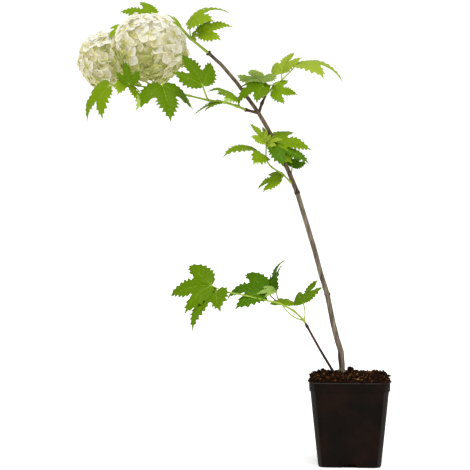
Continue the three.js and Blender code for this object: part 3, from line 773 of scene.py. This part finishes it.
low_spray = Spray((2.4, 1.6), [
    (7.5, 196, 61), (17, 196, 43), (19, 190, 27), (21.5, 183, 10.5), (15.5, 180, 15), (24.5, 175, 11),
], [
    Leaf(6, (17, 188, 24), (54, 156, -14), -53, 52, "mid"),
    Leaf(6, (11, 213, 8), (57, 220, -51), 3, 52, "mid", curl=80),
    Leaf(3, (21, 144, 36), (52, 152, -12), -42, 85, "full", width=0.93, red=True),
    Leaf(3, (15.5, 138, 73), (40, 55, 56), -39, 80, "deep", width=0.8, red=True),
    Leaf(3, (15.5, 138, 73), (25, 176, -14), -48, 20, "pale", width=0.5),
    Leaf(1, (31, 157, 33), (28, 84, 8), 2, 60, "bright", curl=120, bow=(-1.6, 0, -2.2)),
    Leaf(1, (19.5, 252, 81), (38, 50, 43), -16, 29, "mid", width=0.92, bow=(1.5, 0, 0)),
])
middle_spray = Spray((2.2, 1.4), [
    (7, 192, 44), (12.5, 192, 44), (15, 189, 30), (10, 190, 53), (17, 0, 89),
], [
    Leaf(2, (8.5, 254, -48), (33, 148, -21), -40, 64, "spring", width=0.9),
    Leaf(1, (20, 75, 60), (24, 52, 39), 32, 40, "deep", width=0.8),
    Leaf(5, (5, 355, 26), (48, 3, -9), 41, 30, "bright", curl=80),
    Leaf(5, (11, 325, -9), (45, 346, -27), 29, 30, "full", curl=90),
    Leaf(5, (3, 300, 5), (19, 350, 14), 36, 60, "lime"),
    Leaf(5, (3.5, 139, 73), (28, 182, 49), -36, 12, "fresh"),
    Leaf(5, (4.5, 250, 60), (14.5, 0, 86), 73, 20, "lime", width=0.7),
    Leaf(4, (7.5, 136, 45), (49, 204, -4), -18, 82, "bright", curl=110, width=1.15),
])
right_spray = Spray((2, 1.3), [
    (7, 0, 53), (10, 8, 44), (9, 17, 38),
], [
    Leaf(1, (4.5, 318, -10), (29, 358, -9), 55, 36, "bright"),
    Leaf(3, (24, 0, 46), (57, 6, -20), 18, 76, "lime", curl=100, width=0.95),
    Leaf(3, (9, 90, 60), (36, 50, 47), -6, 39, "lime"),
    Leaf(1, (13.5, 163, 40), (40, 254, 16), 3, 17, "young", width=0.95),
    Leaf(1, (19, 248, 8), (37, 184, -38), -33, 95, "mid", curl=90, width=1.1),
    Leaf(2, (11, 214, -6), (17, 177, -49), -44, 28, "mid"),
])
flower_twig = Spray((1.8, 1.3), [
    (50, 94, 36), (33, 115, 84), (22, 215, 70),
], [
    Leaf(3, (5.8, 180, 48), (42, 179, 10), -44, 35, "bright", curl=80, width=1.15),
    Leaf(2, (52, 204.5, 13), (21, 185, -39), -46, 36, "spring", curl=80, width=1.1),
])
flower_spray = Spray((3, 1.6), [
    (11, 186, 22), (15, 180, 17), (18, 177, 7), (22.5, 169, 14), (28.5, 172, 14), (31, 188, 8),
    (21, 197, 11),
], [
    Leaf(3, (33.5, 260, 22.5), (46, 151, 53), -27, 24, "mid", width=0.98, stout=1.4),
    Leaf(0.6, (13, 120, 58), (36, 195, 11), -18, 57, "bright", curl=130, width=1.05),
    Leaf(2, (4, 150, -10), (34, 173, -25), -22, 45, "bright", width=0.7),
    Leaf(4.7, (30.5, 250, 8), (50, 294, -58), 4, 30, "mid", curl=125, width=1.15),
    Leaf(7, (16, 212, -24), (48, 150, -51), -54, 60, "bright", curl=90, width=1.1),
    Leaf(7, (9, 300, -10), (34, 325, -50), 0, 50, "spring", curl=110, width=1.1),
    Leaf(7, (32, 293, -10), (27, 250, 68), 180, 12, "mid", curl=80, width=0.9),
], twig=(5, flower_twig))
tip_spray = Spray((3.4, 2.5), [
    (28, 215, 31), (21, 236, 29),
], [
    Leaf(2, (3, 250, 17), (21, 208, 36), -38, 30, "spring", width=0.8),
    Leaf(1, (15, 238, 79), (48, 1, 16), 24, 90, "spring", curl=90, width=0.92),
    Leaf(1, (11.5, 335, 26), (39, 3, 12), 37, 50, "spring", curl=90, width=1.05),
    Leaf(1.1, (1.5, 215, -20), (15, 215, 38), -40, 20, "bright", width=0.5),
    Leaf(1, (4, 20, 60), (11, 340, 0), 70, 20, "lime"),
])
middle_bud = 8.3  # where on the trunk the middle spray starts

# A leaf's stalk is thick at its foot, and runs on into the blade. Each step is a share of the
# stalk's length, or of the blade's, with the stalk's width there in mm.
stalk_steps = [(0, 2.3), (0.15, 1.7), (0.3, 1.4), (0.45, 1.4), (0.6, 1.4), (0.75, 1.4), (0.9, 1.4), (1, 1.5)]
steps_into_blade = [(0.04, 1.2), (0.1, 0.7)]
stalk_sag = 0.06
stalk_slot, red_stalk_slot = 1, 2
node_swelling = 0.42
end_bud = Vector((0.9, 1.1, 2.6)) * mm
end_bud_lift = 1.8 * mm


def add_leaf(blades, stalks, shoot, leaf, seed):
    """Adds one leaf on its stalk: the blade and its veins, and the stalk that runs on into it."""
    root = along(shoot, leaf.joint)
    length, bearing, rise = leaf.stalk
    base = root + heading(bearing, rise) * length * mm
    bend = bent_blade(base, leaf)
    size = leaf.blade[0] * mm
    blade = bmesh.new()
    blade.from_mesh(blade_data)
    for vert, gap in zip(blade.verts, vein_gaps):
        rib, across, layer = vert.co
        point, normal = bend(rib, across)
        free = min(1, abs(across) * 4 + rib * 0.5)
        waved = wave * free * noise.noise(Vector((rib * 2.6, across * 2.6, seed)))
        fluttered = flutter * free * noise.noise(Vector((rib * 6, across * 6, seed + 50)))
        swollen = puff * (1 - exp(-((gap / vein_hollow) ** 2)))
        depth = layer * (blade_thickness if abs(layer) == 1 else vein_thickness * size)
        vert.co = point + normal * (size * (waved + fluttered + swollen) + depth)
    slots = [list(leaf_tints).index(leaf.green), under_slot, vein_slot]
    for face in blade.faces:
        face.material_index = slots[face.material_index]
    put_in(blades, blade)
    middle = (root + base) / 2 - up * stalk_sag * (base - root).length + 2 * Vector(leaf.bow) * mm
    points = [root.lerp(middle, t).lerp(middle.lerp(base, t), t) for t, _ in stalk_steps]
    points += [bend(t, 0)[0] - bend(t, 0)[1] * blade_thickness for t, _ in steps_into_blade]
    widths = [width * leaf.stout * mm for _, width in stalk_steps + steps_into_blade]
    put_in(stalks, swept(along_line(points, widths), 8, slot=red_stalk_slot if leaf.red else stalk_slot))


def add_shoot(blades, stalks, start, spray, seed):
    """Adds a shoot with its joints slightly swollen, its leaves, its end buds and its own twig."""
    shoot = grow(start, spray.joints)
    widths = evenly(len(shoot), *(width * mm for width in spray.widths))
    points, sizes, from_joint = finely(shoot, widths, 2 * mm)
    for k, gap in enumerate(from_joint):
        sizes[k] *= 1 + node_swelling * exp(-((gap / joint_reach) ** 2))
    put_in(stalks, swept(along_line(eased(points, 3), sizes), 12))
    tip_turn = (shoot[-1] - shoot[-2]).to_track_quat("Z", "X")
    for spread in (-0.35, 0.35):
        turn = tip_turn @ Matrix.Rotation(spread, 3, "X").to_quaternion()
        place = Matrix.LocRotScale(shoot[-1] + (turn @ up) * end_bud_lift, turn, end_bud)
        bmesh.ops.create_uvsphere(stalks, u_segments=8, v_segments=8, radius=1, matrix=place)
    for k, leaf in enumerate(spray.leaves):
        add_leaf(blades, stalks, shoot, leaf, seed + k)
    if spray.twig:
        joint, twig = spray.twig
        add_shoot(blades, stalks, shoot[joint], twig, seed + 20)
    return shoot


shoots = {}
for number, (node, start, spray) in enumerate((
    ("low_spray", side_line[len(side_joints)], low_spray),
    ("middle_spray", along(trunk_line, middle_bud), middle_spray),
    ("right_spray", right_line[-1], right_spray),
    ("flower_spray", flower_line[-1], flower_spray),
    ("tip_spray", trunk_line[-1], tip_spray),
)):
    blades = bmesh.new()
    stalks = bmesh.new()
    shoots[node] = add_shoot(blades, stalks, start, spray, seed=number * 7)
    leaves = new_piece(f"{node}_leaves", blades, leaf_materials, sharp_angle=60, place=plant_place)
    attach(leaves, "root")
    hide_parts(node)
    shoot_piece = new_piece(f"{node}_shoot", stalks, shoot_materials, place=plant_place)
    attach(shoot_piece, "root")

# ----------------------------------------
# Snowballs: two round heads of sterile florets. Each floret has five broad rounded petals on a
# thin stalk, and the florets crowd into a ball round the branching head of one stout stalk.

golden_angle = pi * (3 - sqrt(5))
bare_cap = -0.96  # the underside round the stalk has no florets
floret_radius = 13.4 * mm
floret_dish = 3.6 * mm  # how far its middle lies below the head's outside
petal_thickness = 0.035  # in parts of a floret's radius, as are the next three
petal_widest = 0.68
claw_reach = 0.42
eye_radius = 0.09
squareness = 2.3  # 2 is a round head; above that it is fuller between its axes
core_share = 0.87  # of the head's size that its branching middle fills
pedicel_widths = [1.1 * mm, 0.8 * mm]
pedicel_from = 0.6  # of the way out to its floret
floret_tilt = 0.14
head_stalk_steps = [(0, 3), (0.1, 2.6), (0.3, 2.4), (0.5, 2.4), (0.8, 3)]  # shares and widths in mm
# A head's joint is where on its shoot it starts, and its centre and radii are in mm. Its turn, in degrees,
# is where its first floret faces, and its green foot is how much greener its foot is painted than half-way
# up: partly the florets' own green, partly painted shade under the head. One floret in three is set deeper
# by its sag, in mm, and one by twice that.
Head = namedtuple("Head", "joint centre radii florets turn green_foot sag")
heads = {
    "snowball_front": Head(5, (-222.3, -2, 469), (41.5, 36, 39.5), 112, 0, green_foot=0.72, sag=1.1),
    "snowball_rear": Head(6, (-274.5, 53, 461), (34.5, 31, 34), 78, 50, green_foot=0.22, sag=0.7),
}
# The slots of a head's materials.
white_slot, cream_slot, lime_slot, claw_slot, eye_slot, head_slot, painted_lit_top_slot = range(7)


def floret_template(name, cup, ruffle, phase):
    """One floret that opens along +Z, at unit radius: five petals with undersides, and an eye.
    Each petal is dished, turned a little like a propeller's blade, and wavy at its margin: s runs
    across it, and t from its claw out to its margin."""
    floret = bmesh.new()
    for petal in range(5):
        grid = bmesh.ops.create_grid(floret, x_segments=4, y_segments=4, size=1)["verts"]
        turn = Matrix.Rotation(petal * 2 * pi / 5 + 0.12 * sin(phase + 3 * petal), 3, "Z")
        grown = 1 + 0.1 * sin(2 * petal + phase)
        for vert in grid:
            s, t = vert.co.x, (vert.co.y + 1) / 2
            half = 0.09 + 0.4 * sin(min(1, t / petal_widest) * pi / 2)
            half -= 0.27 * max(0, (t - petal_widest) / (1 - petal_widest)) ** 2
            reach = (0.04 + 0.96 * t - 0.1 * t * s * s) * grown
            wavy = ruffle * sin(3.1 * s + 5 * t + phase + 1.7 * petal) * t * t
            dished = 0.13 * s * s * sin(pi * min(1, t + 0.1)) + 0.07 * s * t
            height = cup * (t ** 1.5) * (1 + 0.3 * sin(phase * 2 + petal * 2.4)) + dished + wavy
            vert.co = turn @ Vector((half * s, reach, height))
    for face in floret.faces:
        middle = face.calc_center_median()
        face.material_index = claw_slot if middle.xy.length < claw_reach else white_slot
    bmesh.ops.solidify(floret, geom=floret.faces[:], thickness=petal_thickness)
    eye = bmesh.new()
    bmesh.ops.create_uvsphere(eye, u_segments=6, v_segments=4, radius=eye_radius)
    paint(eye, eye_slot)
    put_in(floret, eye, Matrix.Translation((0, 0, 0.05)))
    return baked(name, floret)


floret_kinds = [
    floret_template("open floret", -0.02, 0.05, 0.0),
    floret_template("cupped floret", 0.12, 0.05, 1.3),
    floret_template("ruffled floret", 0.05, 0.08, 2.6),
    floret_template("swept floret", -0.1, 0.06, 4.1),
]

# Petals: thin, soft and matt; white, and cream and lime while they open. Light goes a little way into them,
# and each of these materials also glows faintly in its own colour: painted light that lifts the shade
# between the florets. Florets high on a head are painted paler, as painted light from above.
painted_petal_glow = 0.24
petal_depth = 6 * mm
petal_materials = [
    new_material(
        name, colour, roughness, gloss, Emission_Color=linear(colour),
        Emission_Strength=painted_petal_glow, Subsurface_Weight=0.7, Subsurface_Radius=(1.0, 0.95, 0.7),
        Subsurface_Scale=petal_depth,
    )
    for name, colour, roughness, gloss in (
        ("white_petal", "#c4bfa6", 0.7, 0.15), ("cream_petal", "#bbb48b", 0.7, 0.15),
        ("lime_white_petal", "#868a48", 0.7, 0.15), ("petal_claw", "#bcb87c", 0.7, 0.15),
        ("floret_eye", "#b2b664", 0.7, 0.15), ("flower_head_green", "#bcc048", 0.8, 0.1),
        ("petal_painted_lit_top", "#d2cfbf", 0.7, 0.15),
    )
]
lime_from, cream_from = 0.33, 0.08  # how green a floret's place is, counting the painted shade at its head's foot, where these colours begin
painted_lit_top_from = 0.42  # how high on its head a floret is painted paler, as painted light from above

for node, head in heads.items():
    dice = random.Random(node)
    centre = Vector(head.centre) * mm
    radii = Vector(head.radii) * mm
    ball = bmesh.new()
    core_shape = Matrix.LocRotScale(centre, None, radii * core_share)
    core = bmesh.ops.create_icosphere(ball, subdivisions=4, radius=1, matrix=core_shape)["verts"]
    for vert in core:
        vert.co += (vert.co - centre) * 0.1 * noise.noise(vert.co / (4 * mm))
    paint(ball, head_slot)
    root = shoots["flower_spray"][head.joint]
    stalk_points = [root.lerp(centre, t) for t, _ in head_stalk_steps]
    stalk_widths = [width * mm for _, width in head_stalk_steps]
    put_in(ball, swept(along_line(stalk_points, stalk_widths), 10, slot=head_slot))
    for k in range(head.florets):
        height = 1 - ((k + 0.5) / head.florets) * (1 - bare_cap)
        bearing = k * golden_angle + radians(head.turn)
        level = sqrt(1 - height * height)
        out = Vector((level * cos(bearing), level * sin(bearing), height))
        fullness = sum(abs(share) ** squareness for share in out) ** (-1 / squareness)
        reach = fullness * Vector(a * b for a, b in zip(out, radii)).length - floret_dish
        middle = out * (reach - head.sag * mm * (k % 3))
        leaning = (out + Vector(dice.gauss(0, floret_tilt) for _ in range(3))).normalized()
        spin = Matrix.Rotation(dice.uniform(0, 6.3), 3, "Z").to_quaternion()
        size = floret_radius * dice.uniform(0.86, 1.06)
        # Noise for green patches, plus a term that grows down the head: the lime at the foot is partly the
        # florets' own green and partly painted shade.
        green_and_foot_shade = noise.noise(out * 2.1 + Vector((head.turn, 0, 0))) - head.green_foot * height
        if green_and_foot_shade > lime_from:
            tint = lime_slot
        # Florets high on the head are painted paler: painted light from above.
        elif height > painted_lit_top_from:
            tint = painted_lit_top_slot
        else:
            # The deepest florets, set in by twice the sag, are painted cream: painted shade in the head's
            # recesses.
            tint = cream_slot if green_and_foot_shade > cream_from or k % 3 == 2 else white_slot
        floret = bmesh.new()
        floret.from_mesh(floret_kinds[dice.randrange(4)])
        for face in floret.faces:
            if face.material_index == white_slot:
                face.material_index = tint
            elif face.material_index == claw_slot and tint == painted_lit_top_slot:
                face.material_index = cream_slot
        turn = leaning.to_track_quat("Z", "Y") @ spin
        put_in(ball, floret, Matrix.LocRotScale(centre + middle, turn, (size, size, size)))
        pedicel = [centre + middle * pedicel_from, centre + middle]
        put_in(ball, swept(along_line(pedicel, pedicel_widths), 3, slot=head_slot))
    flowers = new_piece(f"{node}_florets", ball, petal_materials, sharp_angle=75, place=plant_place)
    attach(flowers, "root")
    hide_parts(node)

# ----------------------------------------
# Studio: a white floor under soft light from above and in front, in a dim room whose backdrop
# shows white, and a level camera.

floor_radius = 14
below_pot = Matrix.Translation((0, 0, -0.2 * mm))
floor_mesh = bmesh.new()
bmesh.ops.create_circle(floor_mesh, cap_ends=True, segments=96, radius=floor_radius, matrix=below_pot)
# Matt white background paper, lit through from behind, so that the shadow on it stays faint.
paper = new_material(
    "matt_white_paper", "#e4e4e4", 0.9, gloss=0.0, Emission_Color=(1, 1, 1, 1),
    Emission_Strength=0.47,
)
floor = new_piece("floor", floor_mesh, [paper])

room_light = 0.52
backdrop_light = 1.15
scene = bpy.context.scene
world = bpy.data.worlds.new("white studio")
scene.world = world
world.use_nodes = True
backdrop = add_node(world, "ShaderNodeBackground", {"Color": (1, 1, 1, 1), "Strength": backdrop_light})
room = add_node(world, "ShaderNodeBackground", {"Color": (1, 0.985, 0.955, 1), "Strength": room_light})
seen = add_node(world, "ShaderNodeLightPath")
shown = add_node(
    world, "ShaderNodeMixShader",
    {0: (seen, "Is Camera Ray"), 1: (room, "Background"), 2: (backdrop, "Background")},
)
world.node_tree.links.new(shown.outputs["Shader"], world.node_tree.nodes["World Output"].inputs["Surface"])

for name, strength, softness, aim in (
    ("key light", 2.5, 55, (-0.2, 0.5, -1.0)),
    ("front light", 0.6, 100, (0.5, 0.9, -0.5)),
):
    lamp = bpy.data.lights.new(name, "SUN")
    lamp.energy = strength
    lamp.angle = radians(softness)
    light = bpy.data.objects.new(name, lamp)
    light.rotation_euler = Vector(aim).to_track_quat("-Z", "Y").to_euler()
    scene.collection.objects.link(light)

scene.view_settings.view_transform = "Standard"

# The camera is level, and square to the plant's own frame.
camera_distance = 1.6
camera_side = -125.9 * mm
camera_level = 257.7 * mm
picture_width = 470  # pixels
pixel_size = 1.13 * mm  # at the trunk
sensor = 36
camera_data = bpy.data.cameras.new("camera")
camera_data.sensor_width = sensor
camera_data.lens = sensor * camera_distance / (picture_width * pixel_size)
camera = bpy.data.objects.new("camera", camera_data)
camera.location = plant_place @ Vector((camera_side, -camera_distance, camera_level))
camera.rotation_euler = (pi / 2, 0, radians(turned_in_pot))
scene.collection.objects.link(camera)
scene.camera = camera
